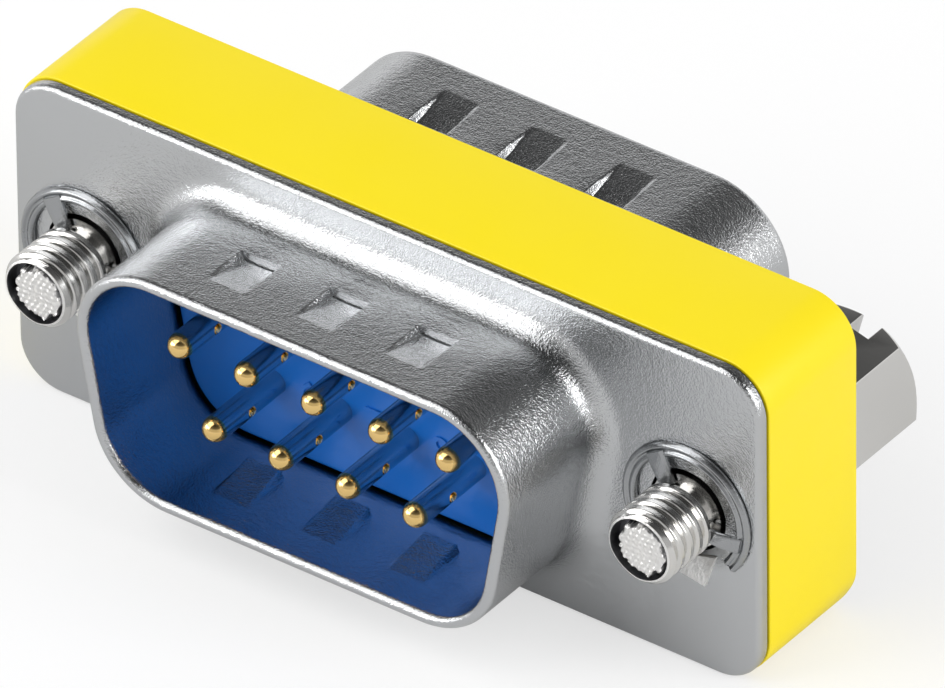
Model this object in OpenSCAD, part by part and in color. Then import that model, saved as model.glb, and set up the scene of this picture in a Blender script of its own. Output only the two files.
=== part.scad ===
// Nine-way D-sub gender changer, plug to plug, with two captive jackscrews.
// Millimetres. +X runs along the row of contacts, -Y is the front, +Z is up.
// The origin lies under the middle of the body, on the face that it stands on.

/* [Plug shells] */
// Width inside the shell, at its widest
shell_in_w = 16.92; // [16.4:0.02:17.2]
// Height inside the shell
shell_in_h = 8.36; // [8:0.02:8.5]
// Corner radius inside the shell
shell_corner_r = 2.6; // [2:0.1:3]
// Lean of the two short sides, in degrees
side_lean = 10; // [6:1:12]
// How far each shell stands out from the face of its plate
shell_reach = 5.3; // [5:0.05:6.2]
// Inner radius of the bend between plate and shell
bend_r = 1; // [0.6:0.05:1.1]

/* [Flange plates] */
// Distance from the inside of the shell to each screw axis
screw_from_shell = 4.035; // [3.9:0.005:4.3]
// Distance from each screw axis to the end of the front plate
plate_end = 2.905; // [2.5:0.005:4.4]
// How far the front plate stands above and below the inside of the shell
plate_margin = 2.095; // [1.75:0.005:2.8]
// Radius of the plate's four corners
plate_corner_r = 1.7; // [1:0.1:2.4]
// Thickness of the pressed steel sheet
sheet_t = 0.45; // [0.35:0.05:0.5]
// Rounding along the outer edge of each plate
plate_edge_r = 0.2; // [0.1:0.05:0.3]
// Clearance around each screw where it passes through a plate
screw_hole_clearance = 0.15; // [0.1:0.05:0.25]

/* [Grip dimples] */
// Dimples along each long side of a shell
dimple_count = 3; // [1:1:3]
// Distance from one dimple to the next
dimple_pitch = 3.65; // [3:0.05:3.9]
// Width of a dimple
dimple_w = 1.45; // [1:0.05:1.8]
// Length of a dimple
dimple_l = 2.35; // [1.6:0.05:2.6]
// Depth of a dimple at its torn step
dimple_depth = 0.32; // [0.15:0.01:0.4]
// Distance from the face of the plate to the torn step
dimple_start = 1.85; // [1.6:0.05:2.4]

/* [Insulators and contacts] */
// Pitch of the contacts along a row
contact_pitch = 2.77; // [2.6:0.01:2.9]
// Distance between the two rows
row_spacing = 2.84; // [2.6:0.01:3]
// Diameter of a contact pin
pin_d = 0.95; // [0.8:0.05:1.05]
// How far a pin stands out from the face of the plate
pin_reach = 4.35; // [4:0.05:4.9]
// How far the insulator stands out from the face of the plate
insulator_reach = 0.6; // [0.4:0.05:1.4]
// Gap between the insulator and the inside of the shell
insulator_gap = 0.08; // [0.05:0.01:0.15]
// Diameter of the thick base of a contact
contact_base_d = 1.5; // [1.3:0.05:1.7]
// Length of the thick base of a contact
contact_base_l = 1; // [0.6:0.1:1.1]
// Diameter of a contact's solder tail
tail_d = 0.6; // [0.4:0.05:0.7]
// Diameter of the small vent hole in the side of a pin
vent_d = 0.36; // [0.2:0.02:0.4]
// Distance from the tip of a pin to its vent hole
vent_from_tip = 1.9; // [1.5:0.05:2.3]

/* [Body] */
// Depth of the coloured band, from front to back
band_w = 4.95; // [4.3:0.01:5.5]
// Thickness of the coloured band
band_t = 0.15; // [0.1:0.01:0.2]
// How far the band stands outside the edge of the front plate
band_proud = 0.03; // [0.01:0.01:0.06]
// Width of the dark strip between front plate and band
band_front_gap = 0.1; // [0.05:0.01:0.3]
// How far the rear plate stands out behind the band
rear_plate_proud = 0.1; // [0:0.05:0.3]
// Thickness of the circuit board between the two plugs
board_t = 0.8; // [0.6:0.1:1]

/* [Jackscrews] */
// Outer diameter of the screw thread
screw_d = 2.8; // [2.6:0.02:2.85]
// How far the screw stands out from the face of the front plate
screw_reach = 2.8; // [2.4:0.05:3.6]
// Length of the bevel at the tip of the screw
tip_bevel = 0.3; // [0.1:0.05:0.4]
// Distance across the flats of the hexagonal head
head_flats = 4.76; // [4.6:0.01:5.1]
// Length of the hexagonal head
head_l = 4; // [3.6:0.1:5.4]
// Bevel around the end of the head
head_bevel = 0.45; // [0.2:0.05:0.6]
// Gap between the head and the rear plate
head_gap = 0.15; // [0.12:0.01:0.3]
// Width of the screwdriver slot
slot_w = 0.8; // [0.6:0.05:0.85]
// Depth of the screwdriver slot
slot_depth = 0.9; // [0.6:0.05:1.2]
// Diameter of the threaded hole in the head
socket_d = 2.3; // [2.1:0.05:2.4]
// Depth of the threaded hole in the head
socket_depth = 3; // [2.4:0.1:3.4]
// Turn of the head about its own axis at rest, in degrees
head_turn = -15; // [-30:1:30]

/* [Retaining clips] */
// Outer diameter of the clip
clip_d = 5.2; // [4.8:0.05:5.3]
// Width of the clip's ring
clip_ring_w = 0.55; // [0.4:0.05:0.7]
// Thickness of the clip
clip_t = 0.5; // [0.3:0.05:0.6]
// Gap between the clip and the front plate
clip_gap = 0.12; // [0.1:0.01:0.3]
// Width of each of the clip's three fingers
clip_finger_w = 1; // [0.7:0.05:1.2]
// Opening of the clip, in degrees
clip_mouth = 36; // [24:2:44]
// Direction of the clip's opening, in degrees from +X
clip_turn = -58; // [-80:2:-40]
// Angle between the opening and the finger on either side of it
finger_turn = 50; // [46:1:70]

/* [Hidden] */
$fn = 96;
arc_steps = 8;
contacts = 9;
upper_row = 5;

// Small sizes that keep solids apart, or let shapes overlap inside one piece
join = 0.1;
fit_gap = 0.03;
loose_gap = 0.1;

// Outline sizes of the front plate, of the band and of what lies inside it
screw_spacing = shell_in_w + 2 * screw_from_shell;
plate_w = screw_spacing + 2 * plate_end;
plate_h = shell_in_h + 2 * plate_margin;
band_out_w = plate_w + 2 * band_proud;
band_out_h = plate_h + 2 * band_proud;
band_out_r = plate_corner_r + band_proud;
frame_w = band_out_w - 2 * (band_t + fit_gap);
frame_h = band_out_h - 2 * (band_t + fit_gap);
frame_r = band_out_r - band_t - fit_gap;
axis_z = band_out_h / 2;

// Depths, counted from the middle of the circuit board
stack = band_front_gap + band_w + rear_plate_proud - sheet_t;
front_y = -stack / 2;
rear_y = stack / 2;
band_front_y = front_y + band_front_gap;
foot_t = (stack - board_t) / 2;

// Corner arcs of the D outline: centre, first angle, sweep, straight run that follows
top_x = shell_in_w / 2 - shell_corner_r;
corner_z = shell_in_h / 2 - shell_corner_r;
low_x = top_x - 2 * corner_z * tan(side_lean);
side_run = 2 * corner_z / cos(side_lean);
d_corners = [
    [top_x, corner_z, -side_lean, 90 + side_lean, side_run],
    [-top_x, corner_z, 90, 90 + side_lean, 2 * top_x],
    [-low_x, -corner_z, 180 + side_lean, 90 - side_lean, side_run],
    [low_x, -corner_z, 270, 90 - side_lean, 2 * low_x]
];

// Points along an arc about (x, y), from one angle to another
function arc_points(x, y, r, from, to) = [
    for (k = [0:arc_steps]) let (a = from + (to - from) * k / arc_steps) [x + r * cos(a), y + r * sin(a)]
];

// Section through the bend and the wall of a shell: distance from a corner's centre, height
bend_x = shell_corner_r + sheet_t + bend_r;
bend_z = sheet_t + bend_r;
lip_r = sheet_t / 2;
wall_section = concat(
    arc_points(bend_x, bend_z, bend_r + sheet_t, 270, 180),
    arc_points(shell_corner_r + lip_r, sheet_t + shell_reach - lip_r, lip_r, 180, 0),
    arc_points(bend_x, bend_z, bend_r, 180, 270),
    [[bend_x + join, sheet_t], [bend_x + join, 0]]
);

// Corner centre and direction of each section along the wall
d_path = [for (c = d_corners, k = [0:arc_steps]) [c[0], c[1], c[2] + c[3] * k / arc_steps]];

// Insulator foot, held between the plate and the circuit board
foot_lap = 0.2;
foot_grow = sheet_t + bend_r + foot_lap;
foot_margin = 0.9;
foot_h = shell_in_h + 2 * foot_margin;

// Contacts
pin_r = pin_d / 2;
tail_gap = 0.05;
tail_l = board_t / 2 - tail_gap;

// Screw stations along its axis, counted forwards from the middle of the board
screw_r = screw_d / 2;
tip_r = screw_r - tip_bevel;
groove_depth = 0.35;
groove_r = screw_r - groove_depth;
plate_face = rear_y + sheet_t;
clip_back = plate_face + clip_gap;
clip_front = clip_back + clip_t;
screw_tip = plate_face + screw_reach;
head_face = -plate_face - head_gap;
head_end = head_face - head_l;
head_r = head_flats / sqrt(3);

// Place of contact i in its plug, seen from the mating side with the wide side up
function contact_x(i) = i <= upper_row
    ? (i - (upper_row + 1) / 2) * contact_pitch
    : (i - (upper_row + 1 + contacts) / 2) * contact_pitch;
function contact_y(i) = i <= upper_row ? row_spacing / 2 : -row_spacing / 2;

// Corner arcs of a rounded rectangle, in the same form as those of the D outline
function rect_corners(w, h, r) = [
    [w / 2 - r, h / 2 - r, 0, 90, h - 2 * r],
    [r - w / 2, h / 2 - r, 90, 90, w - 2 * r],
    [r - w / 2, r - h / 2, 180, 90, h - 2 * r],
    [w / 2 - r, r - h / 2, 270, 90, w - 2 * r]
];

// Point of a corner arc at one of its two ends, 0 or 1, for an arc of radius r
function arc_end(c, end, r) = [
    c[0] + r * cos(c[2] + end * c[3]),
    c[1] + r * sin(c[2] + end * c[3])
];

// Filled outline with its corner arcs at radius r
module outline(corners, r) {
    for (c = corners) translate([c[0], c[1]]) circle(r);
    polygon([for (c = corners, end = [0, 1]) arc_end(c, end, r)]);
}
module d_outline(grow) {
    outline(d_corners, shell_corner_r + grow);
}
module rect_outline(w, h, r) {
    outline(rect_corners(w, h, r), r);
}

// Carries a profile, radius across and height up, around an outline
module around(corners) {
    for (c = corners) translate([c[0], c[1], 0]) rotate([0, 0, c[2]]) {
        rotate_extrude(angle = c[3]) children();
        rotate([90, 0, 0]) linear_extrude(c[4]) children();
    }
}

// Frames of the two plugs, z out of the mating side, and of the two screws, z forwards
module at_front() {
    translate([0, front_y, axis_z]) rotate([90, 0, 0]) children();
}
module at_rear() {
    translate([0, rear_y, axis_z]) rotate([0, 0, 180]) rotate([90, 0, 0]) children();
}
module at_screw(side) {
    translate([side * screw_spacing / 2, 0, axis_z]) rotate([90, 0, 0]) children();
}

// Bend and wall of a shell with its rounded lip, carried once around the D outline
module d_wall() {
    around = len(d_path);
    across = len(wall_section);
    polyhedron(
        points = [for (p = d_path, s = wall_section)
            [p[0] + s[0] * cos(p[2]), p[1] + s[0] * sin(p[2]), s[1]]],
        faces = [for (i = [0:around - 1], j = [0:across - 1])
            let (here = i * across, ahead = (i + 1) % around * across, k = (j + 1) % across)
            [here + j, ahead + j, ahead + k, here + k]]
    );
}

// Section through the rounded rim of a plate
module rim_section(corner_r) {
    flat_r = corner_r - plate_edge_r;
    translate([flat_r - join, 0]) square([join, sheet_t]);
    translate([flat_r - join, 0]) square([join + plate_edge_r, sheet_t - plate_edge_r]);
    translate([flat_r, sheet_t - plate_edge_r]) circle(plate_edge_r);
}

// Sloping form of one pressed dimple below a face at height y, or of the bump inside
module wedge(y) {
    step = sheet_t + dimple_start;
    rotate([0, -90, 0]) linear_extrude(dimple_w, center = true) polygon([
        [step, y + join],
        [step, y - dimple_depth],
        [step + dimple_l, y],
        [step + dimple_l, y + join]
    ]);
}
module each_dimple() {
    for (flip = [0, 1], i = [0:dimple_count - 1])
        mirror([0, flip, 0]) translate([(i - (dimple_count - 1) / 2) * dimple_pitch, 0, 0])
            children();
}

// Flange plate and D-shaped shell, pressed from one sheet, with plate size w by h
module shell(w, h, corner_r) {
    difference() {
        union() {
            linear_extrude(sheet_t) difference() {
                rect_outline(w - 2 * plate_edge_r, h - 2 * plate_edge_r, corner_r - plate_edge_r);
                d_outline(sheet_t + bend_r + join / 2);
            }
            around(rect_corners(w, h, corner_r)) rim_section(corner_r);
            d_wall();
            each_dimple() wedge(shell_in_h / 2);
        }
        each_dimple() wedge(shell_in_h / 2 + sheet_t);
        for (side = [-1, 1]) translate([side * screw_spacing / 2, 0, -join])
            cylinder(h = sheet_t + 2 * join, r = screw_r + screw_hole_clearance);
    }
}

module front_shell() {
    color("lightgray") at_front() shell(plate_w, plate_h, plate_corner_r);
}

module rear_shell() {
    color("lightgray") at_rear() shell(frame_w, frame_h, frame_r);
}

// Foot of an insulator, grown by a gap where it is the room for the foot
module foot_outline(gap) {
    intersection() {
        d_outline(foot_grow + gap);
        square([frame_w, foot_h + 2 * gap], center = true);
    }
}

// Blue moulding that carries the nine contacts
module insulator() {
    difference() {
        union() {
            translate([0, 0, -foot_t]) linear_extrude(foot_t) foot_outline(0);
            translate([0, 0, -join]) linear_extrude(join + sheet_t + insulator_reach)
                d_outline(-insulator_gap);
        }
        for (i = [1:contacts]) translate([contact_x(i), contact_y(i), -foot_t - join]) {
            cylinder(h = join + contact_base_l + fit_gap, r = contact_base_d / 2 + fit_gap);
            cylinder(h = 2 * join + foot_t + sheet_t + insulator_reach, r = pin_r + fit_gap);
        }
    }
}

module front_insulator() {
    color("dodgerblue") at_front() insulator();
}

module rear_insulator() {
    color("dodgerblue") at_rear() insulator();
}

// Gold-plated contact: solder tail, base, pin with a round tip, and its vent hole
module contact(i) {
    tip_z = sheet_t + pin_reach - pin_r;
    color("goldenrod") translate([contact_x(i), contact_y(i), 0]) difference() {
        union() {
            translate([0, 0, -foot_t - tail_l]) cylinder(h = tail_l + join, d = tail_d);
            translate([0, 0, -foot_t]) cylinder(h = contact_base_l, d = contact_base_d);
            translate([0, 0, -foot_t]) cylinder(h = foot_t + tip_z, r = pin_r);
            translate([0, 0, tip_z]) sphere(pin_r);
        }
        translate([0, 0, sheet_t + pin_reach - vent_from_tip]) rotate([0, 90, 0])
            cylinder(h = pin_d, d = vent_d);
    }
}

// Circuit board that crosses the contacts over from one plug to the other
module crossover_board() {
    color("seagreen") at_front() translate([0, 0, -foot_t - board_t]) difference() {
        linear_extrude(board_t) foot_outline(0);
        for (i = [1:contacts]) translate([contact_x(i), contact_y(i), -join])
            cylinder(h = board_t + 2 * join, r = tail_d / 2 + fit_gap);
    }
}

// Dark frame between the two plates, around the feet of the insulators
module spacer_frame() {
    color("dimgray") at_front() translate([0, 0, -stack]) difference() {
        linear_extrude(stack) difference() {
            rect_outline(frame_w, frame_h, frame_r);
            foot_outline(loose_gap);
        }
        for (side = [-1, 1]) translate([side * screw_spacing / 2, 0, -join])
            cylinder(h = stack + 2 * join, r = screw_r + screw_hole_clearance);
    }
}

// Yellow band around the frame and the edge of the rear plate
module label_band() {
    color("yellow") translate([0, band_front_y + band_w, axis_z]) rotate([90, 0, 0])
        linear_extrude(band_w) difference() {
            rect_outline(band_out_w, band_out_h, band_out_r);
            rect_outline(frame_w + 2 * fit_gap, frame_h + 2 * fit_gap, frame_r + fit_gap);
        }
}

// Turned shank with the clip's groove and a bevelled tip
module shank() {
    rotate_extrude() polygon([
        [0, head_face - join],
        [screw_r, head_face - join],
        [screw_r, clip_back - fit_gap],
        [groove_r, clip_back - fit_gap],
        [groove_r, clip_front + fit_gap],
        [screw_r, clip_front + fit_gap],
        [screw_r, screw_tip - tip_bevel],
        [tip_r, screw_tip],
        [0, screw_tip]
    ]);
}

// Hexagonal head with a bevelled end, a screwdriver slot and a threaded hole
module hex_head() {
    difference() {
        intersection() {
            cylinder(h = head_l, r = head_r, $fn = 6);
            rotate_extrude() polygon([
                [0, 0],
                [head_r - head_bevel, 0],
                [head_r, head_bevel],
                [head_r, head_l],
                [0, head_l]
            ]);
        }
        translate([0, 0, -join]) cylinder(h = socket_depth + join, d = socket_d);
        rotate([0, 0, 90]) translate([-head_r - join, -slot_w / 2, -join])
            cube([2 * (head_r + join), slot_w, slot_depth + join]);
    }
}

module jackscrew(side) {
    color("silver") at_screw(side) {
        shank();
        translate([0, 0, head_end]) rotate([0, 0, head_turn]) hex_head();
    }
}

module left_jackscrew() {
    jackscrew(-1);
}

module right_jackscrew() {
    jackscrew(1);
}

// Spring steel clip with three fingers that grip the groove of the screw
module retaining_clip(side) {
    ring_r = clip_d / 2 - clip_ring_w;
    color("slategray") at_screw(side) translate([0, 0, clip_back]) rotate([0, 0, clip_turn])
        linear_extrude(clip_t) difference() {
            union() {
                difference() {
                    circle(clip_d / 2);
                    circle(ring_r);
                }
                for (turn = [-finger_turn, finger_turn, 180]) rotate([0, 0, turn])
                    translate([0, -clip_finger_w / 2]) square([ring_r + join, clip_finger_w]);
            }
            circle(groove_r + fit_gap);
            polygon([for (turn = [-1, 0, 1]) turn == 0
                ? [0, 0]
                : clip_d * [cos(clip_mouth / 2), -turn * sin(clip_mouth / 2)]]);
        }
}

module left_retaining_clip() {
    retaining_clip(-1);
}

module right_retaining_clip() {
    retaining_clip(1);
}

front_shell();
rear_shell();
front_insulator();
rear_insulator();
for (i = [1:contacts]) at_front() contact(i);
for (i = [1:contacts]) at_rear() contact(i);
crossover_board();
spacer_frame();
label_band();
left_jackscrew();
right_jackscrew();
left_retaining_clip();
right_retaining_clip();
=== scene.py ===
# %% [markdown]
# # A nine-way gender changer, dressed for a studio picture
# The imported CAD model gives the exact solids. This notebook lays finished surfaces over them:
# pressed and plated sheet, cut threads, a moulded blue insulator and a bare yellow plastic band.

# %% Load the frame
import math
import bmesh
import bpy
import numpy as np
from mathutils import Matrix


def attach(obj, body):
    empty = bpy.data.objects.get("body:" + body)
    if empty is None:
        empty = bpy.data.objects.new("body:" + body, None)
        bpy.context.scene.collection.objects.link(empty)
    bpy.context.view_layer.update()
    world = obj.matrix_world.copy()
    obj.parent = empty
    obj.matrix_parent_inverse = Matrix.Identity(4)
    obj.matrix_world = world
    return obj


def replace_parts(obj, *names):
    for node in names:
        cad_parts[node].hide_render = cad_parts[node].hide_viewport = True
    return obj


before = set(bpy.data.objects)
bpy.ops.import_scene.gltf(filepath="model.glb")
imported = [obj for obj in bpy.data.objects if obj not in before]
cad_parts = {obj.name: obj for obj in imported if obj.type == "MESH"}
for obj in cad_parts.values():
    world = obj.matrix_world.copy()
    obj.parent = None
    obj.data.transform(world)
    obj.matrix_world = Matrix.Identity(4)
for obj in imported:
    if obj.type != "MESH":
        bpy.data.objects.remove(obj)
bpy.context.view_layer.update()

# %% [markdown]
# ## Sizes
# All surfaces are worked out in millimetres, in the same frame as the solids: +X along the row of
# contacts, -Y to the front, +Z up, with the origin under the middle of the body. A plate is given
# by its width, height and corner radius. It is flat from FLAT_FROM outside the D.

# %% Sizes taken over from the solids
MM = 0.001
SHEET = 0.45
PLATE_BACK = 2.35
PLATE_FACE = PLATE_BACK + SHEET
AXIS_Z = 6.305
SHELL_HALF = np.array([8.46, 4.18])
SHELL_R = 2.6
LEAN = math.radians(10)
BEND = 1.0
REACH = 5.3
DIMPLE_START = 1.85
INSULATOR = 0.6
SCREW_X = 12.495
HOLE_R = 1.55
PITCH_X = 2.77
ROW_Z = 1.42
FRONT_PLATE = (30.8, 12.55, 1.7)
REAR_PLATE = (30.5, 12.25, 1.55)
FLAT_FROM = 1.8
print("plate faces at y = -%.3f and +%.3f mm" % (PLATE_FACE, PLATE_FACE))

# %% [markdown]
# ## From numbers to mesh
# A surface is a grid of points. Each point is joined to its neighbours by four-sided faces, and
# foreach_set hands the whole arrays to the mesh at once.


# %% Grid helpers
def grid(points, close_rows=False, close_columns=False):
    """Faces over a grid of points: each joins a point to the next row, the next column and both."""
    rows, columns = points.shape[:2]
    index = np.arange(rows * columns).reshape(rows, columns)
    if close_rows:
        index = np.concatenate([index, index[:1]])
    if close_columns:
        index = np.concatenate([index, index[:, :1]], axis=1)
    corners = [index[:-1, :-1], index[1:, :-1], index[1:, 1:], index[:-1, 1:]]
    return points.reshape(-1, 3), np.stack(corners, -1).reshape(-1, 4)


def joined(*surfaces):
    """Several surfaces as one: the points end to end, and each face number moved on to match."""
    starts = np.cumsum([0] + [len(points) for points, _ in surfaces])
    points = np.concatenate([points for points, _ in surfaces])
    faces = np.concatenate([faces + start for (_, faces), start in zip(surfaces, starts)])
    return points, faces


def at_front(surface):
    """From a plug's own axes to the front of the body: x stays, y becomes up, z forwards."""
    p, faces = surface
    return np.stack([p[:, 0], -PLATE_BACK - p[:, 2], AXIS_Z + p[:, 1]], -1), faces


def at_rear(surface):
    """From a plug's own axes to the rear of the body: x turns round, y becomes up, z backwards."""
    p, faces = surface
    return np.stack([-p[:, 0], PLATE_BACK + p[:, 2], AXIS_Z + p[:, 1]], -1), faces


def at_screw(side, surface):
    """From a screw's own axes, z forwards from the middle of the body, to its place."""
    p, faces = surface
    return np.stack([side * SCREW_X + p[:, 0], -p[:, 2], AXIS_Z + p[:, 1]], -1), faces


# %% Pieces
def weld(mesh, distance=2e-7):
    """Merges points that lie on one another, which closes seams and poles."""
    work = bmesh.new()
    work.from_mesh(mesh)
    bmesh.ops.remove_doubles(work, verts=work.verts, dist=distance)
    work.to_mesh(mesh)
    work.free()


def add_piece(name, surface, body, material, stands_for, sharp=40, others=(), choice=None):
    """Makes a piece from a surface in millimetres. choice gives each face the number of its
    material: 0 is the first, 1 and up are the others."""
    points, faces = surface
    mesh = bpy.data.meshes.new(name)
    mesh.vertices.add(len(points))
    mesh.vertices.foreach_set("co", (points * MM).astype(np.float32).ravel())
    mesh.loops.add(faces.size)
    mesh.loops.foreach_set("vertex_index", faces.astype(np.int32).ravel())
    mesh.polygons.add(len(faces))
    mesh.polygons.foreach_set("loop_start", np.arange(0, faces.size, 4, dtype=np.int32))
    mesh.materials.append(material)
    for other in others:
        mesh.materials.append(other)
    if others:
        mesh.polygons.foreach_set("material_index", choice.astype(np.int32))
    mesh.update(calc_edges=True)
    weld(mesh)
    mesh.shade_smooth()
    mesh.set_sharp_from_angle(angle=math.radians(sharp))
    piece = bpy.data.objects.new(name, mesh)
    bpy.context.scene.collection.objects.link(piece)
    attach(piece, body)
    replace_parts(piece, *stands_for)
    print("%-22s %6d points %6d faces" % (name, len(mesh.vertices), len(mesh.polygons)))


# %% [markdown]
# ## Effects that several finishes share
# A plated pressing is never a mirror: the nickel follows the grain of the steel under it, which
# shows as an orange-peel speckle, and handling leaves soft patches. Each effect is one node group
# that puts out a number, so every material can use it at its own strength.


# %% Node helpers
def add(tree, kind, **settings):
    """Adds a node. A setting that names an input is written on its socket, others on the node."""
    node = tree.nodes.new(kind)
    for key, value in settings.items():
        name = key.replace("_", " ")
        if name in node.inputs:
            node.inputs[name].default_value = value
        else:
            setattr(node, key, value)
    return node


def new_group(name, inputs, outputs):
    """An empty node group with number inputs, given as name and usual value, and number outputs."""
    tree = bpy.data.node_groups.new(name, "ShaderNodeTree")
    number = "NodeSocketFloat"
    for title, usual in inputs:
        socket = tree.interface.new_socket(name=title, in_out="INPUT", socket_type=number)
        socket.default_value = usual
    for title in outputs:
        tree.interface.new_socket(name=title, in_out="OUTPUT", socket_type=number)
    return tree, tree.nodes.new("NodeGroupInput"), tree.nodes.new("NodeGroupOutput")


# %% Speckle of a plated or moulded surface
BROAD_SCALE = 0.3
speckle, into, out = new_group("fine_speckle", [("Grain", 6000), ("Coarse", 0.5)], ["Height"])
place = add(speckle, "ShaderNodeTexCoord")
fine = add(speckle, "ShaderNodeTexNoise", Detail=2.0, Roughness=0.6)
broad = add(speckle, "ShaderNodeTexNoise", Detail=1.0, Roughness=0.5)
broader = add(speckle, "ShaderNodeMath", operation="MULTIPLY")
broader.inputs[1].default_value = BROAD_SCALE
blend = add(speckle, "ShaderNodeMix")
speckle.links.new(place.outputs["Object"], fine.inputs["Vector"])
speckle.links.new(place.outputs["Object"], broad.inputs["Vector"])
speckle.links.new(into.outputs["Grain"], fine.inputs["Scale"])
speckle.links.new(into.outputs["Grain"], broader.inputs[0])
speckle.links.new(broader.outputs[0], broad.inputs["Scale"])
speckle.links.new(into.outputs["Coarse"], blend.inputs[0])
speckle.links.new(fine.outputs["Fac"], blend.inputs[2])
speckle.links.new(broad.outputs["Fac"], blend.inputs[3])
speckle.links.new(blend.outputs[0], out.inputs["Height"])
print("group", speckle.name)

# %% Soft patches left by handling
handling, into, out = new_group(
    "handling_marks", [("Size", 300), ("Low", 0.2), ("High", 0.35)], ["Value"]
)
place = add(handling, "ShaderNodeTexCoord")
patch = add(handling, "ShaderNodeTexNoise", Detail=3.0, Roughness=0.55)
spread = add(handling, "ShaderNodeMapRange", From_Min=0.3, From_Max=0.7)
handling.links.new(place.outputs["Object"], patch.inputs["Vector"])
handling.links.new(into.outputs["Size"], patch.inputs["Scale"])
handling.links.new(patch.outputs["Fac"], spread.inputs["Value"])
handling.links.new(into.outputs["Low"], spread.inputs["To Min"])
handling.links.new(into.outputs["High"], spread.inputs["To Max"])
handling.links.new(spread.outputs["Result"], out.inputs["Value"])
print("group", handling.name)


# %% A finish from the shared effects
def finish(name, color, metallic, rough, grain=6000, depth=0.004, coarse=0.5):
    """Principled surface: its roughness wanders between two values, its grain is depth mm deep."""
    material = bpy.data.materials.new(name)
    material.use_nodes = True
    tree = material.node_tree
    tree.nodes.clear()
    surface = add(tree, "ShaderNodeBsdfPrincipled", Metallic=metallic)
    surface.inputs["Base Color"].default_value = (*color, 1)
    end = add(tree, "ShaderNodeOutputMaterial")
    marks = add(tree, "ShaderNodeGroup", node_tree=handling)
    marks.inputs["Low"].default_value, marks.inputs["High"].default_value = rough
    grains = add(tree, "ShaderNodeGroup", node_tree=speckle)
    grains.inputs["Grain"].default_value = grain
    grains.inputs["Coarse"].default_value = coarse
    bump = add(tree, "ShaderNodeBump", Strength=1.0, Distance=depth * MM)
    tree.links.new(marks.outputs["Value"], surface.inputs["Roughness"])
    tree.links.new(grains.outputs["Height"], bump.inputs["Height"])
    tree.links.new(bump.outputs["Normal"], surface.inputs["Normal"])
    tree.links.new(surface.outputs["BSDF"], end.inputs["Surface"])
    return material


# %% [markdown]
# ## Finishes
# Each material is named for what it is on the real part, and for light or shade painted into it.
# Metals get their look from what they reflect, so their colour is mostly the tint of the plating;
# the tin also has a painted blue reflection in its colour. The screws' ends are sheared off: rough
# where the metal tore and painted bright as a highlight, with painted shade in the hollow beside
# it.

# %% The materials
nickel = finish("satin_nickel", (0.60, 0.61, 0.62), 1.0, (0.11, 0.18),
                grain=14000, depth=0.036, coarse=0.4)
bright_nickel = finish("bright_nickel", (0.74, 0.73, 0.71), 1.0, (0.10, 0.20),
                       grain=5000, depth=0.002)
# The torn face's bright colour is partly a painted highlight; the hollow's dark colour is painted
# shade.
torn_steel_painted_bright = finish("torn_steel_painted_bright", (0.93, 0.92, 0.90), 1.0, (0.30, 0.50), grain=9000, depth=0.06)
recess_painted_shade = finish("recess_painted_shade", (0.16, 0.16, 0.17), 1.0, (0.25, 0.45), grain=6000, depth=0.02)
spring_steel = finish("spring_steel", (0.40, 0.41, 0.42), 1.0, (0.18, 0.30),
                      grain=9000, depth=0.012)
blue_moulding = finish("blue_moulding", (0.004, 0.17, 0.68), 0.0, (0.30, 0.45),
                       grain=4000, depth=0.004)
gold_flash = finish("gold_flash", (0.95, 0.66, 0.26), 1.0, (0.10, 0.20), grain=4000, depth=0.0015)
# The tin's blue tint is a painted reflection of the blue moulding.
tin_with_painted_blue = finish("tin_with_painted_blue", (0.50, 0.60, 0.62), 1.0, (0.12, 0.22), grain=4000, depth=0.0015)
yellow_band = finish("yellow_band", (1.0, 0.80, 0.003), 0.0, (0.30, 0.42), grain=5000, depth=0.002)
dark_frame = finish("dark_frame", (0.03, 0.03, 0.032), 0.0, (0.45, 0.6), grain=4000, depth=0.005)
green_board = finish("green_board", (0.02, 0.16, 0.06), 0.0, (0.3, 0.45), grain=3000, depth=0.003)
print(len(bpy.data.materials), "materials")

# %% [markdown]
# ## Camera
# The photograph is taken from far away with a long lens, so parallel edges stay parallel. The
# camera stands about 37 degrees round to the right and 36 degrees up, rolled by less than one.

# %% Camera from the measured angles
azimuth, elevation, roll = np.radians([36.61, 35.80, -0.64])
away = np.array([
    math.sin(azimuth) * math.cos(elevation),
    -math.cos(azimuth) * math.cos(elevation),
    math.sin(elevation),
])
level = np.array([math.cos(azimuth), math.sin(azimuth), 0.0])
upward = np.cross(away, level)
DISTANCE, PIXELS_PER_MM, FRAME_WIDTH = 900.0, 29.93, 945
AIM_RIGHT, AIM_DOWN = 1.28, 0.11
SENSOR = 36
right = level * math.cos(roll) + upward * math.sin(roll)
top = upward * math.cos(roll) - level * math.sin(roll)
aim = np.array([0, 0, AXIS_Z]) + right * AIM_RIGHT - top * AIM_DOWN
lens = bpy.data.cameras.new("camera")
lens.sensor_width = SENSOR
lens.lens = SENSOR * PIXELS_PER_MM * DISTANCE / FRAME_WIDTH
lens.clip_start, lens.clip_end = 0.05, 20
camera = bpy.data.objects.new("camera", lens)
bpy.context.scene.collection.objects.link(camera)
turn = np.eye(4)
turn[:3, 0], turn[:3, 1], turn[:3, 2] = right, top, away
turn[:3, 3] = (aim + away * DISTANCE) * MM
camera.matrix_world = Matrix(turn.tolist())
bpy.context.scene.camera = camera
print("lens %.0f mm at %.0f mm" % (lens.lens, DISTANCE))

# %% [markdown]
# ## The pressed shells
# On the real part, a plate and its D-shaped shell are drawn from one sheet of steel. The sheet
# turns from the plate into the wall through a wide bend, and the wall ends in a rounded lip. One
# section, carried along a D, gives the wall. Flat cells between outlines give the plate.

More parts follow.
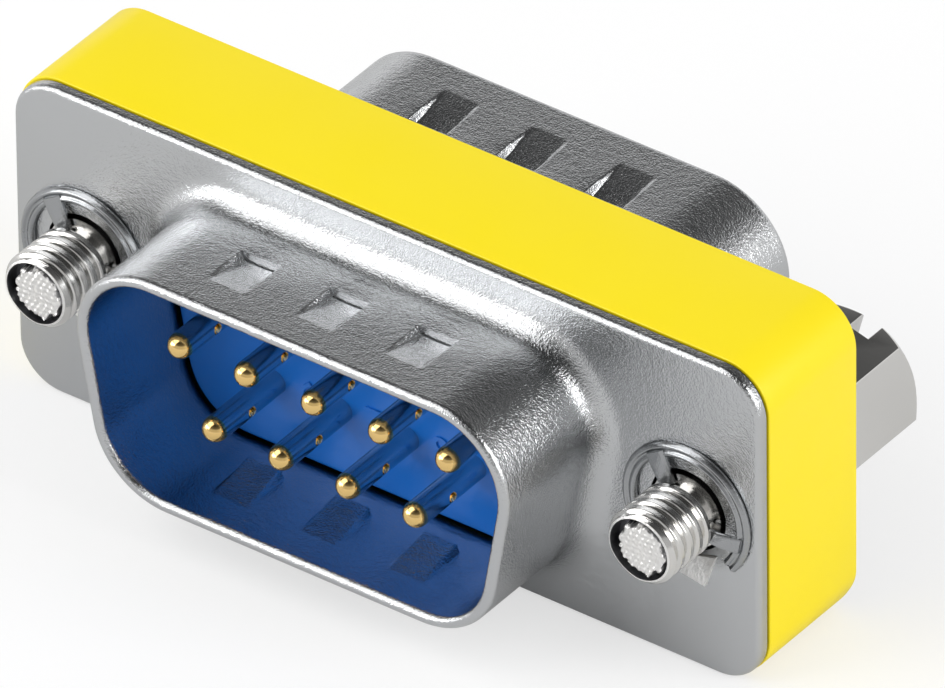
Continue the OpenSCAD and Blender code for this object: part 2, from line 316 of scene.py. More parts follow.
# %% Outline of the D
CORNERS = np.array([[1, 1], [-1, 1], [-1, -1], [1, -1]])
CORNER_STEPS = 20
corner_z = SHELL_HALF[1] - SHELL_R
top_x = SHELL_HALF[0] - SHELL_R
low_x = top_x - 2 * corner_z * math.tan(LEAN)
centres = CORNERS * [[top_x, corner_z], [top_x, corner_z], [low_x, corner_z], [low_x, corner_z]]
QUARTER = math.pi / 2
first = np.array([-LEAN, QUARTER, math.pi + LEAN, 3 * QUARTER])
sweep = QUARTER + LEAN * np.array([1, 1, -1, -1])
DIMPLES = np.array([-3.65, 0.0, 3.65])
DIMPLE_SIDES = np.array([0.62, 0.66, 0.70, 0.74, 0.78, 0.82, 0.86, 0.92, 1.0, 1.1])
near_dimple = np.concatenate([-DIMPLE_SIDES, DIMPLE_SIDES, np.linspace(-0.5, 0.5, 8)])
run_x = (DIMPLES[:, None] + near_dimple).ravel()
run_x = np.unique(np.concatenate([run_x, np.linspace(-5.4, 5.4, 28)]).round(3))


def d_path():
    """The D, counter-clockwise: points on the inside of the wall, and their outward directions."""
    angles = first[:, None] + sweep[:, None] * np.linspace(0, 1, CORNER_STEPS + 1)
    outward = np.stack([np.cos(angles), np.sin(angles)], -1)
    arcs = centres[:, None] + SHELL_R * outward
    flat = np.linspace(0, 1, 12)[1:-1, None]
    low_run = run_x[np.abs(run_x) < low_x - 0.05]
    runs = [
        np.stack([run_x[::-1], np.full(len(run_x), SHELL_HALF[1])], -1),
        arcs[1, -1] * (1 - flat) + arcs[2, 0] * flat,
        np.stack([low_run, np.full(len(low_run), -SHELL_HALF[1])], -1),
        arcs[3, -1] * (1 - flat) + arcs[0, 0] * flat,
    ]
    points = np.concatenate([part for arc, run in zip(arcs, runs) for part in (arc, run)])
    ways = [part for o, run in zip(outward, runs) for part in (o, np.repeat(o[-1:], len(run), 0))]
    starts = np.cumsum([0] + [CORNER_STEPS + 1 + len(run) for run in runs])
    return points, np.concatenate(ways), starts[:4] + CORNER_STEPS // 2


path, ways, corner_middles = d_path()
print("D outline:", len(path), "points")

# %% [markdown]
# Three grip dimples are struck into each long side. Each one is a small ramp: the punch tears the
# sheet at the end near the plate and leaves the other end flush. The tear shows a bright cut face
# with a thin dark slit under it.


# %% Depth of the dimples
step_z = SHEET + DIMPLE_START
DIMPLE_HALF, SIDE_RUN = 0.80, 0.16
RAMP_DEPTH, RAMP_RUN = 0.33, 1.95
SLIT_RUN, SLIT_DEPTH = 0.07, 0.43
PULL_DEPTH, PULL_ACROSS, PULL_ALONG = 0.07, 0.9, 0.75


def sink(x, z, slit):
    """Depth of the wall below its face: a ramp falling from a torn step, narrow sides, and a soft
    pull around it. slit is the depth of the narrow gap at the foot of the step."""
    along = z - step_z
    across = np.abs(x[:, None] - DIMPLES).min(axis=1)
    side = np.clip((DIMPLE_HALF - across) / SIDE_RUN, 0, 1)
    side = side * side * (3 - 2 * side)
    ramp = RAMP_DEPTH * np.clip(1 - (along - SLIT_RUN) / RAMP_RUN, 0, 1)
    ramp = np.where(along < 0.001, 0, np.where(along < SLIT_RUN, slit, ramp))
    pull = PULL_DEPTH * np.exp(-(across / PULL_ACROSS) ** 2)[:, None]
    pull = pull * np.exp(-((along - 0.1) / PULL_ALONG) ** 2)
    return side[:, None] * ramp + pull


# %% The wall of a shell
def turn_points(x, z, radius, start, end, steps):
    """Points on an arc about (x, z), from one angle to another in degrees."""
    a = np.radians(np.linspace(start, end, steps + 1))
    return np.stack([x + radius * np.cos(a), z + radius * np.sin(a)], -1)


lip_z = SHEET + REACH - SHEET / 2
rows_up = np.concatenate([
    np.linspace(1.5, step_z - 0.03, 10), step_z + np.array([0, 0.004, 0.066, 0.074]),
    np.linspace(step_z + 0.12, step_z + 1.9, 20), step_z + np.array([1.96, 2.0, 2.04, 2.1]),
    np.linspace(step_z + 2.2, lip_z - 0.05, 9)
])


def shell_wall():
    """The section - face of the plate, bend, outside, lip, inside, bend, back - carried along the
    D: point = path + outward * (section width - depth of the dimples), at the section's height."""
    outside = turn_points(SHEET + BEND, SHEET + BEND, BEND, 270, 180, 12)
    inside = turn_points(SHEET + BEND, SHEET + BEND, BEND + SHEET, 180, 270, 12)
    lip = turn_points(SHEET / 2, lip_z, SHEET / 2, 0, 180, 12)
    up = np.stack([np.full(len(rows_up), SHEET), rows_up], -1)
    down = up[::-1] * [0, 1]
    section = np.concatenate([[[FLAT_FROM, SHEET]], outside, up, lip, down, inside,
                              [[FLAT_FROM, 0]]])
    width = np.repeat(section[None, :, 0], len(path), 0)
    up_at = 1 + len(outside)
    down_at = up_at + len(up) + len(lip)
    long_side = (np.abs(ways[:, 1]) > 0.999)[:, None]
    width[:, up_at:up_at + len(up)] -= long_side * sink(path[:, 0], rows_up, SLIT_DEPTH)
    width[:, down_at:down_at + len(up)] -= long_side * sink(path[:, 0], rows_up[::-1], RAMP_DEPTH)
    xy = path[:, None] + ways[:, None] * width[..., None]
    z = np.repeat(section[None, :, 1:], len(path), 0)
    return grid(np.concatenate([xy, z], -1), close_rows=True)


# %% The flat plate and its rim
def flat_between(outer, inner, z, faces_up):
    """Flat ring between two outlines with equally many points, at height z."""
    pair = [outer, inner] if faces_up else [inner, outer]
    ring = np.stack(pair, 1)
    return grid(np.concatenate([ring, np.full((*ring.shape[:2], 1), z)], -1), close_rows=True)


SEAM_X = 10.45
BACK_BEVEL = 0.03


def middle_frame(height):
    """Rectangle round the D with a point for each of the D's: the middles of the D's corner arcs go
    to its corners, and the points between are spread evenly along its sides."""
    keys = np.append(corner_middles, corner_middles[0] + len(path))
    corner = CORNERS * [SEAM_X, height]
    corner = np.concatenate([corner, corner[:1]])
    at = np.arange(len(path))
    at = np.where(at < keys[0], at + len(path), at)
    return np.stack([np.interp(at, keys, corner[:, 0]), np.interp(at, keys, corner[:, 1])], -1)


def end_rim(width, height, radius):
    """Right-hand part of the plate's outline, seam below to seam above, with directions."""
    x, y = width / 2 - radius, height / 2 - radius
    low = turn_points(x, -y, radius, -90, 0, 16)
    high = turn_points(x, y, radius, 0, 90, 16)
    run = np.linspace(SEAM_X, x, 12)[:-1]
    side = np.linspace(-y, y, 14)[1:-1]
    points = np.concatenate([
        np.stack([run, np.full(len(run), -height / 2)], -1), low,
        np.stack([np.full(len(side), width / 2), side], -1),
        high, np.stack([run[::-1], np.full(len(run), height / 2)], -1),
    ])
    toward = points - np.stack([np.clip(points[:, 0], None, x), np.clip(points[:, 1], -y, y)], -1)
    return points, toward / np.linalg.norm(toward, axis=1, keepdims=True)


def rim_strip(points, directions, edge_r):
    """The rim's section, a bevel, the edge and a rounding, carried along part of the outline."""
    rounding = turn_points(-edge_r, SHEET - edge_r, edge_r, 0, 90, 8)
    section = np.concatenate([[[-BACK_BEVEL, 0]], [[0, BACK_BEVEL]], rounding])
    xy = points[:, None] + directions[:, None] * section[None, :, :1]
    z = np.repeat(section[None, :, 1:], len(points), 0)
    return grid(np.concatenate([xy, z], -1))


def plate(width, height, radius, edge_r=0.2):
    """Plate with its rounded rim: a middle cell round the D and an end cell round each screw hole,
    each a flat ring, in front and behind, then the holes' walls and the rim."""
    parts = []
    rim, rim_way = end_rim(width, height, radius)
    holes = {}
    for z, inset in ((SHEET, edge_r), (0.0, BACK_BEVEL)):
        middle = middle_frame(height / 2 - inset)
        parts.append(flat_between(middle, path + FLAT_FROM * ways, z, z > 0))
        seam = middle[middle[:, 0] > SEAM_X - 1e-6]
        seam = seam[np.argsort(-seam[:, 1])]
        loop = np.concatenate([rim - inset * rim_way, seam[1:-1]])
        from_hole = loop - [SCREW_X, 0]
        hole = [SCREW_X, 0] + HOLE_R * from_hole / np.linalg.norm(from_hole, axis=1, keepdims=True)
        holes[z] = hole
        parts.append(flat_between(loop, hole, z, z > 0))
        parts.append(flat_between((loop * [-1, 1])[::-1], (hole * [-1, 1])[::-1], z, z > 0))
    for side in (1, -1):
        rings = [np.column_stack([hole * [side, 1], np.full(len(hole), z)])[::side]
                 for z, hole in holes.items()]
        parts.append(grid(np.stack(rings, 1), close_rows=True))
        parts.append(rim_strip((rim * [side, 1])[::side], (rim_way * [side, 1])[::side], edge_r))
    long_edges = middle[np.abs(np.abs(middle[:, 1]) - np.abs(middle[:, 1]).max()) < 1e-9]
    for sign in (1, -1):
        along = long_edges[np.sign(long_edges[:, 1]) == sign][:, 0]
        along = np.sort(along)[::-sign]
        points = np.stack([along, np.full(len(along), sign * height / 2)], -1)
        parts.append(rim_strip(points, np.repeat([[0.0, sign]], len(along), 0), edge_r))
    return joined(*parts)


# %% Both pressings
wall = shell_wall()
add_piece("front_pressing", at_front(joined(wall, plate(*FRONT_PLATE))), "changer",
          nickel, ["front_shell"])
add_piece("rear_pressing", at_rear(joined(wall, plate(*REAR_PLATE))), "changer",
          nickel, ["rear_shell"])

# %% [markdown]
# ## Contacts
# A turned pin is a profile spun about its own axis. Its vent is a small hole in the side, and
# the grid is drawn together there so that the hole is round. Only the tip and the vent are gilded.
# The rest is tinned, with a painted blue reflection of the moulding around it in its colour.


# %% Spun profile, and where each contact stands
def spun(profile, angles):
    """Profile of radius and height, turned about the z axis through the given angles."""
    x = np.cos(angles)[:, None] * profile[None, :, 0]
    y = np.sin(angles)[:, None] * profile[None, :, 0]
    z = np.repeat(profile[None, :, 1], len(angles), 0)
    return np.stack([x, y, z], -1)


PIN_R, PIN_TIP, FOOT = 0.475, SHEET + 4.35, 1.95
VENT_Z, VENT_R, VENT_DEPTH = PIN_TIP - 1.9, 0.17, 0.85
GILDED = 0.62


def contact_place(number):
    """Where contact number + 1 stands in its plug: five in the upper row, four in the lower."""
    if number < 5:
        return (number - 2) * PITCH_X, ROW_Z
    return (number - 6.5) * PITCH_X, -ROW_Z


def contact_surface():
    """Tail, base, pin and round tip. Within the vent's radius the surface drops towards the axis:
    radius = profile radius * (1 - VENT_DEPTH). Also marks the tinned faces, whose colour holds a
    painted blue reflection."""
    gather = np.linspace(-1, 1, 49)
    angles = math.pi * (0.25 * gather + 0.75 * gather ** 3)[:-1]
    fine_z = VENT_Z + np.linspace(-0.24, 0.24, 21)
    tip = turn_points(0, PIN_TIP - PIN_R, PIN_R, 0, 90, 14)
    foot = [[0, -FOOT - 0.35], [0.27, -FOOT - 0.35], [0.3, -FOOT - 0.32], [0.3, -FOOT],
            [0.75, -FOOT], [0.75, 1 - FOOT], [PIN_R, 1 - FOOT], [PIN_R, 0.9], [PIN_R, VENT_Z - 0.5]]
    pin = np.stack([np.full(len(fine_z), PIN_R), fine_z], -1)
    profile = np.concatenate([foot, pin, [[PIN_R, VENT_Z + 0.5]], tip])
    profile[-1, 0] = 0
    points = spun(profile, angles)
    reach = np.hypot(PIN_R * angles[:, None], profile[None, :, 1] - VENT_Z)
    depth = np.clip((VENT_R + 0.02 - reach) / 0.05, 0, 1) * (np.abs(angles) < 1)[:, None]
    points[..., :2] *= (1 - VENT_DEPTH * depth)[..., None]
    # Faces that are tinned and painted with a blue reflection: behind the gilding and off the vent.
    tin_faces_painted_blue = (profile[None, :-1, 1] < PIN_TIP - GILDED) & (reach[:, :-1] > VENT_R + 0.03)
    return grid(points, close_rows=True), tin_faces_painted_blue.ravel()


pin, tin_faces_painted_blue = contact_surface()
for number in range(9):
    moved = pin[0] + [*contact_place(number), 0], pin[1]
    for end, place_at in (("front", at_front), ("rear", at_rear)):
        add_piece("%s_pin_%d" % (end, number + 1), place_at(moved), "changer", gold_flash,
                  ["%s_contact_%d" % (end, number + 1)],
                  others=[tin_with_painted_blue], choice=tin_faces_painted_blue)

# %% [markdown]
# ## Insulators
# A blue moulding fills the foot of each shell. Its face is set back and its edge is rounded, so a
# dark line runs along the wall. Small raised numbers stand beside the contacts, as on most plugs.


# %% Face of an insulator
def insulator_surface():
    """Rings inside the D: up the side, over a rounded edge, then across the face to the middle."""
    edge_r, gap = 0.22, 0.05
    top_z = SHEET + INSULATOR
    rounding = turn_points(-gap - edge_r, top_z - edge_r, edge_r, 0, 90, 6)
    rings = np.concatenate([[[-gap, 0.1]], rounding, [[-0.7, top_z], [-1.4, top_z]]])
    xy = path[:, None] + ways[:, None] * rings[None, :, :1]
    z = np.repeat(rings[None, :, 1:], len(path), 0)
    outer = np.concatenate([xy, z], -1)
    ridge = outer[:, -1:] * [0.6, 0, 1]
    base = outer[:, :1] * [0.6, 0, 1]
    return grid(np.concatenate([base, outer, ridge], 1), close_rows=True)


moulding = insulator_surface()
for end, place_at in (("front", at_front), ("rear", at_rear)):
    add_piece("%s_moulding" % end, place_at(moulding), "changer", blue_moulding,
              ["%s_insulator" % end])


# %% Raised numbers
NUMBER_SIZE, NUMBER_PROUD = 1.6, 0.07


def number_mesh(number):
    """A plain numeral about 1.1 mm high, as a mesh in metres with z out of the face."""
    curve = bpy.data.curves.new("numeral", "FONT")
    curve.body = str(number)
    curve.size, curve.extrude = NUMBER_SIZE * MM, NUMBER_PROUD * MM
    curve.align_x, curve.align_y, curve.resolution_u = "CENTER", "CENTER", 3
    holder = bpy.data.objects.new("numeral", curve)
    mesh = bpy.data.meshes.new_from_object(holder)
    bpy.data.objects.remove(holder)
    return mesh


def add_numbers(name, place_at):
    """All nine numerals in one mesh, each half a pitch to the reading side of its contact."""
    work = bmesh.new()
    for number in range(9):
        x, y = contact_place(number)
        mesh = number_mesh(number + 1)
        points = np.empty(len(mesh.vertices) * 3)
        mesh.vertices.foreach_get("co", points)
        points = points.reshape(-1, 3) / MM + [x + PITCH_X / 2, y, SHEET + INSULATOR]
        placed, _ = place_at((points, None))
        mesh.vertices.foreach_set("co", (placed * MM).ravel())
        work.from_mesh(mesh)
    bmesh.ops.remove_doubles(work, verts=work.verts, dist=1e-7)
    bmesh.ops.recalc_face_normals(work, faces=work.faces)
    mesh = bpy.data.meshes.new(name)
    work.to_mesh(mesh)
    work.free()
    mesh.materials.append(blue_moulding)
    piece = bpy.data.objects.new(name, mesh)
    bpy.context.scene.collection.objects.link(piece)
    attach(piece, "changer")
    print(name, len(mesh.polygons), "faces")


add_numbers("front_numbers", at_front)
add_numbers("rear_numbers", at_rear)

# %% [markdown]
# ## The yellow band
# A thin plastic sleeve, a little wider than the plate. Its section is a flat strip with rounded
# edges, carried round the rounded rectangle. At the low right corner its rear edge is torn in a
# little: there the strip grows narrower by a smooth bump.


# %% Rounded rectangle path and the band
def box_path(width, height, radius, steps=16, run=14):
    """Rounded rectangle, counter-clockwise: points on the outline and their outward directions."""
    x, y = width / 2 - radius, height / 2 - radius
    middles = CORNERS * [x, y]
    angles = np.radians([0, 90, 180, 270])[:, None] + np.radians(np.linspace(0, 90, steps + 1))
    outward = np.stack([np.cos(angles), np.sin(angles)], -1)
    arcs = middles[:, None] + radius * outward
    t = np.linspace(0, 1, run)[1:-1, None]
    runs = [arcs[k, -1] * (1 - t) + arcs[(k + 1) % 4, 0] * t for k in range(4)]
    points = np.concatenate([part for arc, r in zip(arcs, runs) for part in (arc, r)])
    directions = [part for o, r in zip(outward, runs) for part in (o, np.repeat(o[-1:], len(r), 0))]
    return points, np.concatenate(directions)


BAND_FRONT, BAND_BACK, BAND_T = -2.25, 2.70, 0.15
BAND_OUTLINE, BAND_SHIFT = (30.96, 12.61, 1.73), 0.05
OUTER_EDGE_R, INNER_EDGE_R = 0.05, 0.02
TEAR_X, TEAR_Z, TEAR_R, TEAR_DEPTH, TEAR_RUN = 15.1, -5.6, 0.55, 0.32, 0.8


def band_surface():
    """The strip round the outline, its rear part moved forward near the tear by
    TEAR_DEPTH * exp(-(distance / TEAR_R)^2), less and less over TEAR_RUN."""
    outline, outline_way = box_path(*BAND_OUTLINE)
    outline[:, 0] -= BAND_SHIFT
    outer, inner = OUTER_EDGE_R, INNER_EDGE_R
    section = np.concatenate([
        turn_points(-outer, BAND_FRONT + outer, outer, -90, 0, 5),
        turn_points(-outer, BAND_BACK - outer, outer, 0, 90, 5),
        turn_points(-BAND_T + inner, BAND_BACK - inner, inner, 90, 180, 2),
        turn_points(-BAND_T + inner, BAND_FRONT + inner, inner, 180, 270, 2),
    ])
    flat = outline[:, None] + outline_way[:, None] * section[None, :, :1]
    depth = np.repeat(section[None, :, 1], len(outline), 0)
    from_tear = np.hypot(outline[:, 0] - TEAR_X, outline[:, 1] - TEAR_Z)
    tear = TEAR_DEPTH * np.exp(-(from_tear / TEAR_R) ** 2)
    depth -= tear[:, None] * np.clip((depth - BAND_BACK + TEAR_RUN) / TEAR_RUN, 0, 1)
    points = np.stack([flat[..., 0], depth, AXIS_Z + flat[..., 1]], -1)
    return grid(points[::-1], close_rows=True, close_columns=True)


add_piece("sleeve_band", band_surface(), "changer", yellow_band, ["label_band"])

# %% [markdown]
# ## Jackscrews
# The shank carries a real helical thread: the radius swings between root and crest as the height
# runs ahead of the turn by one pitch. It ends in a cup with a torn mound, left when the screw was
# sheared off its bar. The head keeps the exact solid, with its edges softened.

# %% Threaded shank
THREAD_R, THREAD_PITCH, THREAD_DEPTH, THREAD_SHARE = 1.4, 0.5, 0.2, 0.62
SCREW_TIP = PLATE_FACE + 2.8
GROOVE_START, GROOVE_END, GROOVE_DEPTH = PLATE_FACE + 0.1, PLATE_FACE + 0.64, 0.35
BEVEL, BEVEL_SLOPE = 0.2, 0.9
CUP_DEPTH, END_RINGS = 0.5, np.linspace(0.94, 0, 26)
MOUND_X, MOUND_Y, MOUND_R, MOUND_RISE, STREAK = 0.1, -0.03, 1.0, 0.47, 0.022


def screw_end(x, y):
    """Height of the end over the tip, and how far the mound is there, from 0 to 1:
    height = -CUP_DEPTH + mound * (MOUND_RISE + STREAK * streaks). Waves make its edge ragged."""
    ragged = 0.07 * np.sin(5 * x + 11 * y) + 0.05 * np.sin(17 * x - 6 * y)
    from_mound = np.hypot(x - MOUND_X, y - MOUND_Y) + ragged
    mound = np.clip((MOUND_R - from_mound) / 0.1, 0, 1)
    streaks = np.sin(26 * x - 9 * y + 2 * np.sin(5 * y))
    streaks = streaks + 0.6 * np.sin(47 * x + 13 * y) + 0.5 * np.sin(31 * y)
    return mound * (MOUND_RISE + STREAK * streaks) - CUP_DEPTH, mound


def shank_surface():
    """Radius = crest radius - depth * groove(height / pitch - turn), held down by the clip's groove
    and the bevel of the tip. Also gives each face its material: 0 plated, 1 torn steel with a
    painted highlight, 2 hollow in painted shade."""
    heights = np.arange(-PLATE_FACE - 0.2, SCREW_TIP - 0.02, 0.025)
    angles = np.linspace(-math.pi, math.pi, 97)[:-1]
    turns = heights[None] / THREAD_PITCH - angles[:, None] / (2 * math.pi)
    from_root = np.abs((turns % 1) * 2 - 1)
    groove = np.clip(1 - from_root / THREAD_SHARE, 0, 1)
    radius = THREAD_R - THREAD_DEPTH * groove * groove * (3 - 2 * groove)
    radius = np.where(heights[None] < GROOVE_START, THREAD_R, radius)
    in_groove = (heights > GROOVE_START) & (heights < GROOVE_END)
    radius = np.where(in_groove[None], THREAD_R - GROOVE_DEPTH, radius)
    limit = THREAD_R - np.clip(heights - (SCREW_TIP - BEVEL), 0, None) * BEVEL_SLOPE
    radius = np.minimum(radius, limit[None])
    points = np.stack([np.cos(angles)[:, None] * radius, np.sin(angles)[:, None] * radius,
                       np.repeat(heights[None], len(angles), 0)], -1)
    face = points[:, -1:, :2] * END_RINGS[None, :, None]
    over_tip, mound = screw_end(face[..., 0], face[..., 1])
    over_tip[:, 0] = 0
    # The hollow of the cup and the ground off the mound get painted shade, the mound a painted
    # highlight.
    end_materials = np.where((over_tip < -0.3) | (mound < 0.5), 2, 1)
    end_materials[:, 0] = 1
    face = np.concatenate([face, SCREW_TIP + over_tip[..., None]], -1)
    start = points[:, :1] * [0, 0, 1]
    materials = np.concatenate([np.zeros(radius.shape, int), end_materials], 1)
    return grid(np.concatenate([start, points, face], 1), close_rows=True), materials.ravel()


shank, shank_materials = shank_surface()


# %% Heads from the solids
HEAD_FROM, SOFT_EDGE = PLATE_FACE + 0.14, 0.06


def head_of(node_name, name, side):
    """Copy of the solid behind the plate, welded, its flat faces made whole, its opening closed."""
    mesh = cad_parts[node_name].data.copy()
    work = bmesh.new()
    work.from_mesh(mesh)
    bmesh.ops.remove_doubles(work, verts=work.verts, dist=2e-6)
    shank_part = [v for v in work.verts if v.co.y < HEAD_FROM * MM]
    bmesh.ops.delete(work, geom=shank_part, context="VERTS")
    bmesh.ops.holes_fill(work, edges=[e for e in work.edges if e.is_boundary], sides=0)
    bmesh.ops.dissolve_limit(work, angle_limit=math.radians(1), verts=work.verts, edges=work.edges)
    work.to_mesh(mesh)
    work.free()
    mesh.materials.clear()
    mesh.materials.append(bright_nickel)
    piece = bpy.data.objects.new(name, mesh)
    bpy.context.scene.collection.objects.link(piece)
    soften = piece.modifiers.new("soft_edges", "BEVEL")
    soften.width, soften.segments = SOFT_EDGE * MM, 3
    soften.limit_method, soften.angle_limit = "ANGLE", math.radians(30)
    mesh.shade_smooth()
    mesh.set_sharp_from_angle(angle=math.radians(30))
    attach(piece, "%s_screw" % side)
    print(name, len(mesh.polygons), "faces")
    return piece


for side, sign in (("left", -1), ("right", 1)):
    node_name = "%s_jackscrew" % side
    # Each shank's end: torn steel with a painted highlight, and painted shade in the hollow.
    add_piece("%s_shank" % side, at_screw(sign, shank), "%s_screw" % side,
              bright_nickel, [node_name],
              sharp=60, others=[torn_steel_painted_bright, recess_painted_shade], choice=shank_materials)
    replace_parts(head_of(node_name, "%s_head" % side, side), node_name)

# %% [markdown]
# ## Retaining clips
# A spring washer snaps into the groove of each screw, so that the screw can't fall out. It is
# stamped from thin steel: a ring with a raised ridge on either edge, open on one side, with three
# fingers bent up to the screw. A torn tongue is bent across the opening; its bright colour is a
# painted highlight. All are sections carried along a path, their ends drawn together to a point.


# %% Clip surfaces
CLIP_BACK = PLATE_FACE + 0.03
CLIP_OPEN, CLIP_HALF = -58, 18
RING_R, RING_WIDTH, RING_T, RIDGE, RING_EDGE_T = 2.6, 0.56, 0.13, 0.09, 0.08
FINGER_T, FINGER_NARROWS, FINGER_ROOT, FINGER_TIP = 0.09, 0.33, 2.3, 1.1
FINGERS = [(-12, 0.32, -40, 0.32), (122, 0.42, 12, 0.12), (-112, 0.55, 10, 0.3)]
TONGUE_T = 0.16
TONGUE_LOW = [-0.5, -2.45, 0.05], [1.3, -2.1, 0.7]
TONGUE_HIGH = [-0.4, -1.75, 0.1], [1.42, -1.15, 0.25]


def capped(rows):
    """Closed sections along a path, with a row added at either end where all points meet."""
    first, last = rows[:1].mean(1, keepdims=True), rows[-1:].mean(1, keepdims=True)
    count = rows.shape[1]
    ends = [np.repeat(first, count, 1), rows, np.repeat(last, count, 1)]
    return grid(np.concatenate(ends), close_columns=True)


def clip_ring():
    """Section of two ridges, height = RING_T + RIDGE * sine squared, turned about the axis."""
    across = np.linspace(0, 1, 19)
    over = RING_T + RIDGE * np.sin(2 * math.pi * across) ** 2
    over[[0, -1]] = RING_EDGE_T
    section = np.concatenate([
        np.stack([RING_R - RING_WIDTH * across, over], -1), [[2.06, 0.0], [2.33, 0.0], [2.58, 0.0]]
    ])
    angles = np.radians(np.linspace(CLIP_OPEN + CLIP_HALF, CLIP_OPEN + 360 - CLIP_HALF, 121))
    return capped(spun(section, angles)[:, ::-1])


def clip_finger(turn, half_width, twist, lift):
    """A strip from ring to screw, turned to its place: it narrows by a third, rises by lift and
    twists as it goes in. turn and twist are in degrees."""
    s = np.linspace(0, 1, 15)
    loop = np.radians(np.arange(0, 360, 30) + 15)
    flat = np.sign(np.cos(loop)) * np.abs(np.cos(loop)) ** 0.5
    thick = FINGER_T * np.sign(np.sin(loop)) * np.abs(np.sin(loop)) ** 0.5
    width = half_width * (1 - FINGER_NARROWS * s)
    tilt = np.radians(twist) * s
    side = width[:, None] * flat * np.cos(tilt)[:, None] - thick * np.sin(tilt)[:, None]
    rise = 0.14 + lift * np.sin(s * math.pi / 2)
    up = width[:, None] * flat * np.sin(tilt)[:, None] + thick * np.cos(tilt)[:, None]
    up = rise[:, None] + up
    inward = (FINGER_ROOT + (FINGER_TIP - FINGER_ROOT) * s)[:, None] + np.zeros_like(side)
    a = math.radians(turn)
    x = inward * math.cos(a) - side * math.sin(a)
    y = inward * math.sin(a) + side * math.cos(a)
    return capped(np.stack([x, y, up], -1))


def clip_tongue():
    """A strip over the opening, from the left ends of its low and high edges to their right ends.
    The low edge stands forward, so that the strip looks up."""
    s = np.linspace(0, 1, 17)[:, None]
    low, high = [(1 - s) * start + s * end for start, end in np.array([TONGUE_LOW, TONGUE_HIGH])]
    middle = (low + high) / 2 + [0, 0, 0.05]
    thick = [0, 0, TONGUE_T]
    section = [low + thick, middle + thick, high + thick, high, middle, low]
    return capped(np.stack(section, 1)[:, ::-1])


clip_parts = [clip_ring(), clip_tongue()] + [clip_finger(*finger) for finger in FINGERS]
is_tongue = [False, True] + [False] * len(FINGERS)
# The tongue's faces get the bright torn-steel finish, as a painted highlight.
tongue_painted_bright = np.repeat(is_tongue, [len(part[1]) for part in clip_parts])
clip_points, clip_faces = joined(*clip_parts)
clip = clip_points + [0, 0, CLIP_BACK], clip_faces
for side, sign in (("left", -1), ("right", 1)):
    add_piece("%s_clip" % side, at_screw(sign, clip), "%s_screw" % side,
              spring_steel, ["%s_retaining_clip" % side],
              others=[torn_steel_painted_bright], choice=tongue_painted_bright)

# %% [markdown]
# ## What the solids already show
# The dark frame and the board keep their exact solids and get a finish.


# %% Finishes on the solids
def paint(name, material):
    """Puts one material into every slot of a solid."""
    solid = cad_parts[name]
    if not solid.data.materials:
        solid.data.materials.append(material)
    for slot in solid.material_slots:
        slot.material = material


paint("spacer_frame", dark_frame)
paint("crossover_board", green_board)

# %% [markdown]
# ## Studio
# A pale floor that keeps the shadow, and a tent for the metal to mirror: bright up to a good third
# of the way to the top, where the backdrop ends, and dark above. So a plated face turns from grey
# to white within a few degrees of tilt, and its grain sparkles there. The tent shows in mirrored
# light only. Other light comes from an even fill and four soft lamps, of which the low one lights
# the dimples.


# %% Floor
FLOOR_REACH, PAPER_SHADE, GLOW_SHARE = 2000.0, 0.72, 0.6


def floor_surface():
    """A square of floor at height zero."""
    reach = np.array([-FLOOR_REACH, FLOOR_REACH])
    x, y = np.meshgrid(reach, reach, indexing="ij")
    return grid(np.stack([x, y, np.zeros_like(x)], -1))


paper = bpy.data.materials.new("white_paper")
paper.use_nodes = True
tree = paper.node_tree
tree.nodes.clear()
matte = add(tree, "ShaderNodeBsdfDiffuse")
shown = add(tree, "ShaderNodeMix", data_type="RGBA")
shown.inputs[6].default_value = (PAPER_SHADE, PAPER_SHADE, PAPER_SHADE, 1)
shown.inputs[7].default_value = (1, 1, 1, 1)
glow = add(tree, "ShaderNodeEmission", Color=(1, 1, 1, 1), Strength=1.0)
rays = add(tree, "ShaderNodeLightPath")
share = add(tree, "ShaderNodeMath", operation="MULTIPLY")
share.inputs[1].default_value = GLOW_SHARE
mix = add(tree, "ShaderNodeMixShader")
end = add(tree, "ShaderNodeOutputMaterial")
tree.links.new(rays.outputs["Is Camera Ray"], share.inputs[0])
tree.links.new(rays.outputs["Is Camera Ray"], shown.inputs[0])
tree.links.new(shown.outputs[2], matte.inputs["Color"])
tree.links.new(share.outputs[0], mix.inputs[0])
tree.links.new(matte.outputs[0], mix.inputs[1])
tree.links.new(glow.outputs[0], mix.inputs[2])
tree.links.new(mix.outputs[0], end.inputs["Surface"])
points, faces = floor_surface()
mesh = bpy.data.meshes.new("floor")
mesh.from_pydata((points * MM).tolist(), [], faces.tolist())
mesh.materials.append(paper)
floor = bpy.data.objects.new("floor", mesh)
bpy.context.scene.collection.objects.link(floor)

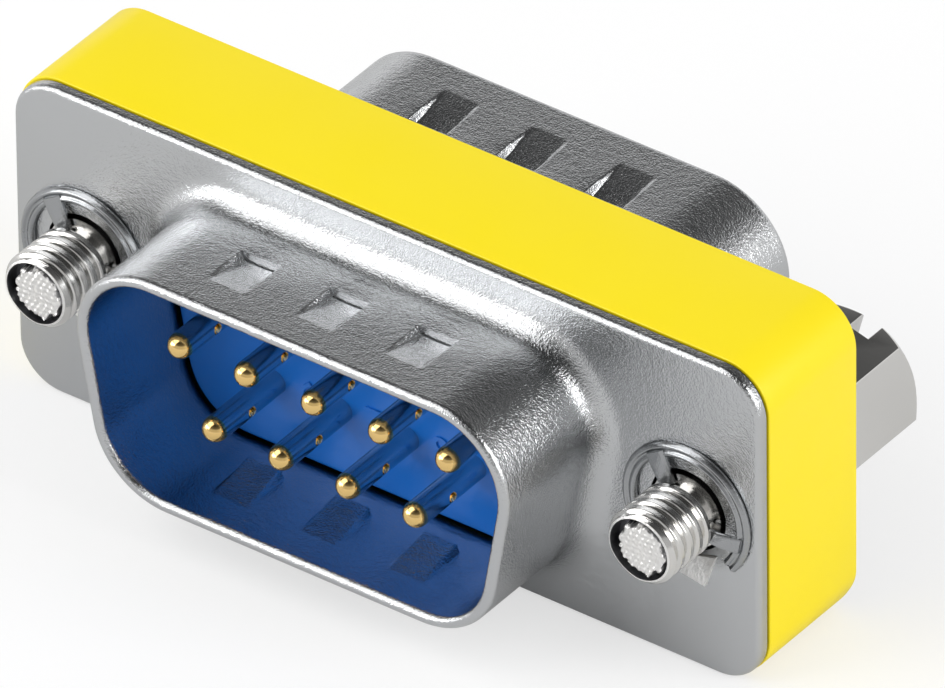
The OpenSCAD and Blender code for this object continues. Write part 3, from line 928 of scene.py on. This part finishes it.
# %% Tent and lamps
HEIGHT_SHADES = [(0.36, 1.0), (0.44, 0.26), (0.585, 0.18), (0.78, 0.06)]
world = bpy.data.worlds.new("tent")
bpy.context.scene.world = world
world.use_nodes = True
tree = world.node_tree
tree.nodes.clear()
place = add(tree, "ShaderNodeTexCoord")
parts = add(tree, "ShaderNodeSeparateXYZ")
horizon = add(tree, "ShaderNodeMapRange", From_Min=-0.6, From_Max=0.4, To_Min=0.66, To_Max=1.2)
ramp = add(tree, "ShaderNodeValToRGB")
for (height, shade), stop in zip(HEIGHT_SHADES, [*ramp.color_ramp.elements, None, None]):
    stop = stop or ramp.color_ramp.elements.new(height)
    stop.position, stop.color = height, (shade, shade, shade, 1)
shade = add(tree, "ShaderNodeMath", operation="MULTIPLY")
rays = add(tree, "ShaderNodeLightPath")
tent = add(tree, "ShaderNodeBackground")
fill = add(tree, "ShaderNodeBackground", Color=(1, 1, 1, 1), Strength=0.55)
white = add(tree, "ShaderNodeBackground", Color=(1, 1, 1, 1), Strength=1.0)
by_gloss = add(tree, "ShaderNodeMixShader")
by_camera = add(tree, "ShaderNodeMixShader")
end = add(tree, "ShaderNodeOutputWorld")
tree.links.new(place.outputs["Generated"], parts.inputs[0])
tree.links.new(parts.outputs["Y"], horizon.inputs["Value"])
tree.links.new(parts.outputs["Z"], ramp.inputs["Fac"])
tree.links.new(horizon.outputs["Result"], shade.inputs[0])
tree.links.new(ramp.outputs["Color"], shade.inputs[1])
tree.links.new(shade.outputs[0], tent.inputs["Strength"])
tree.links.new(rays.outputs["Is Glossy Ray"], by_gloss.inputs[0])
tree.links.new(fill.outputs[0], by_gloss.inputs[1])
tree.links.new(tent.outputs[0], by_gloss.inputs[2])
tree.links.new(rays.outputs["Is Camera Ray"], by_camera.inputs[0])
tree.links.new(by_gloss.outputs[0], by_camera.inputs[1])
tree.links.new(white.outputs[0], by_camera.inputs[2])
tree.links.new(by_camera.outputs[0], end.inputs["Surface"])


def soft_lamp(name, place, size, power):
    """Square soft lamp at a place in mm, facing the object."""
    data = bpy.data.lights.new(name, "AREA")
    data.size, data.energy = size * MM, power
    lamp = bpy.data.objects.new(name, data)
    bpy.context.scene.collection.objects.link(lamp)
    back = np.array(place, float) - [0, 0, AXIS_Z]
    back /= np.linalg.norm(back)
    side = np.cross([0, 0, 1.0], back)
    side /= np.linalg.norm(side)
    pose = np.eye(4)
    pose[:3] = np.column_stack([side, np.cross(back, side), back, np.array(place) * MM])
    lamp.matrix_world = Matrix(pose.tolist())


soft_lamp("key", (-220, -260, 420), 380, 0.92)
soft_lamp("rim", (420, 60, 200), 240, 1.0)
soft_lamp("side", (-380, -300, 120), 200, 0.5)
soft_lamp("low", (-245, -405, 176), 150, 0.3)
bpy.context.scene.view_settings.view_transform = "Standard"
